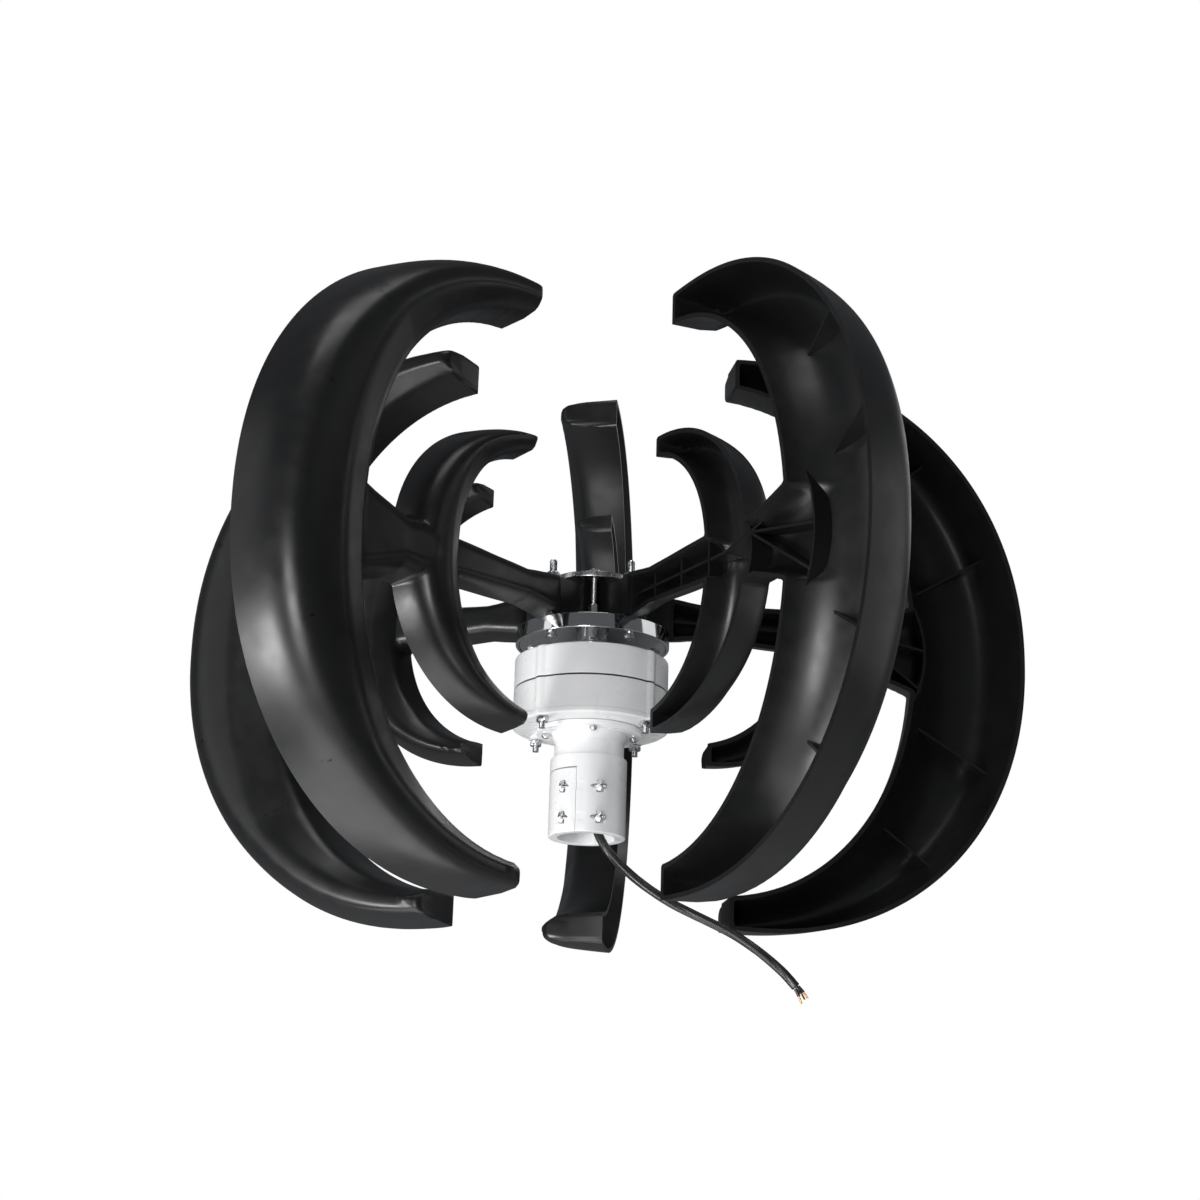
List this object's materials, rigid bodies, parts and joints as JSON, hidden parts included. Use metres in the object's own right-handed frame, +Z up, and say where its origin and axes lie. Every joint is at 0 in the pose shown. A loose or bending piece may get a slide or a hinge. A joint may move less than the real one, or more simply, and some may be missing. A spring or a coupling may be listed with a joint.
{
  "type": "vertical axis wind turbine",
  "caption": "Lantern-shaped vertical axis wind turbine: black crescent blades on a hub, a round white generator and a pole clamp sleeve with its output lead.",
  "frame": {"origin": "centre of the sleeve's lower mouth, where the mast goes in", "axes": "+Z up along the rotor axis, towards the hub; +X to the right and -Y to the front in the usual view"},
  "size_m": [0.6774, 0.6607, 0.5255],
  "materials": {
    "blade_nylon": "moulded black nylon with a soft sheen",
    "white_paint": "white powder coat",
    "chrome_disc": "polished chrome plate",
    "steel": "stainless",
    "rubber": "black rubber",
    "copper": "enamelled copper wire",
    "core_iron": "laminated electrical steel",
    "magnet": "nickel plated magnet",
    "cage_brass": "pressed brass cage and balls",
    "cable_vinyl": "black vinyl"
  },
  "bodies": {
    "stator": {"pole_sleeve": "white_paint", "clamp_half": "white_paint", "clamp_bolt_1": "steel", "clamp_bolt_2": "steel", "clamp_bolt_3": "steel", "clamp_bolt_4": "steel", "lower_housing": "white_paint", "upper_housing": "white_paint", "housing_gasket": "rubber", "housing_bolt_1": "steel", "housing_bolt_2": "steel", "housing_bolt_3": "steel", "housing_bolt_4": "steel", "flange_screw_1": "steel", "flange_screw_2": "steel", "flange_screw_3": "steel", "flange_screw_4": "steel", "stator_core": "core_iron", "lower_winding": "copper", "upper_winding": "copper", "lower_bearing_outer_ring": "steel", "upper_bearing_outer_ring": "steel", "shaft_seal": "rubber", "cable_gland": "cable_vinyl", "power_cable": "cable_vinyl", "wire_end_1": "copper", "wire_end_2": "copper", "wire_end_3": "copper"},
    "rotor": {"shaft": "steel", "lower_bearing_inner_ring": "steel", "upper_bearing_inner_ring": "steel", "rotor_core": "core_iron", "magnet_ring": "magnet", "lower_hub_disc": "chrome_disc", "upper_hub_disc": "steel", "shaft_nut": "steel", "blade_1": "blade_nylon", "blade_2": "blade_nylon", "blade_3": "blade_nylon", "blade_4": "blade_nylon", "blade_5": "blade_nylon", "arm_bolt_1": "steel", "arm_bolt_2": "steel", "arm_bolt_3": "steel", "arm_bolt_4": "steel", "arm_bolt_5": "steel", "arm_nut_1": "steel", "arm_nut_2": "steel", "arm_nut_3": "steel", "arm_nut_4": "steel", "arm_nut_5": "steel", "hub_bolt_1": "steel", "hub_bolt_2": "steel", "hub_bolt_3": "steel", "hub_bolt_4": "steel", "hub_bolt_5": "steel"},
    "lower_cage": {"lower_bearing_cage": "cage_brass"},
    "upper_cage": {"upper_bearing_cage": "cage_brass"}
  },
  "joints": [
    {"name": "rotor_spin", "type": "hinge", "parent": "stator", "child": "rotor", "pos_m": [0, 0, 0.15], "axis": [0, 0, 1], "continuous": true},
    {"name": "lower_cage_spin", "type": "hinge", "parent": "stator", "child": "lower_cage", "pos_m": [0, 0, 0.0945], "axis": [0, 0, 1], "continuous": true},
    {"name": "upper_cage_spin", "type": "hinge", "parent": "stator", "child": "upper_cage", "pos_m": [0, 0, 0.128], "axis": [0, 0, 1], "continuous": true}
  ],
  "couplings": [
    {"joint": "lower_cage_spin", "follows": "rotor_spin", "ratio": 0.447},
    {"joint": "upper_cage_spin", "follows": "rotor_spin", "ratio": 0.447}
  ]
}
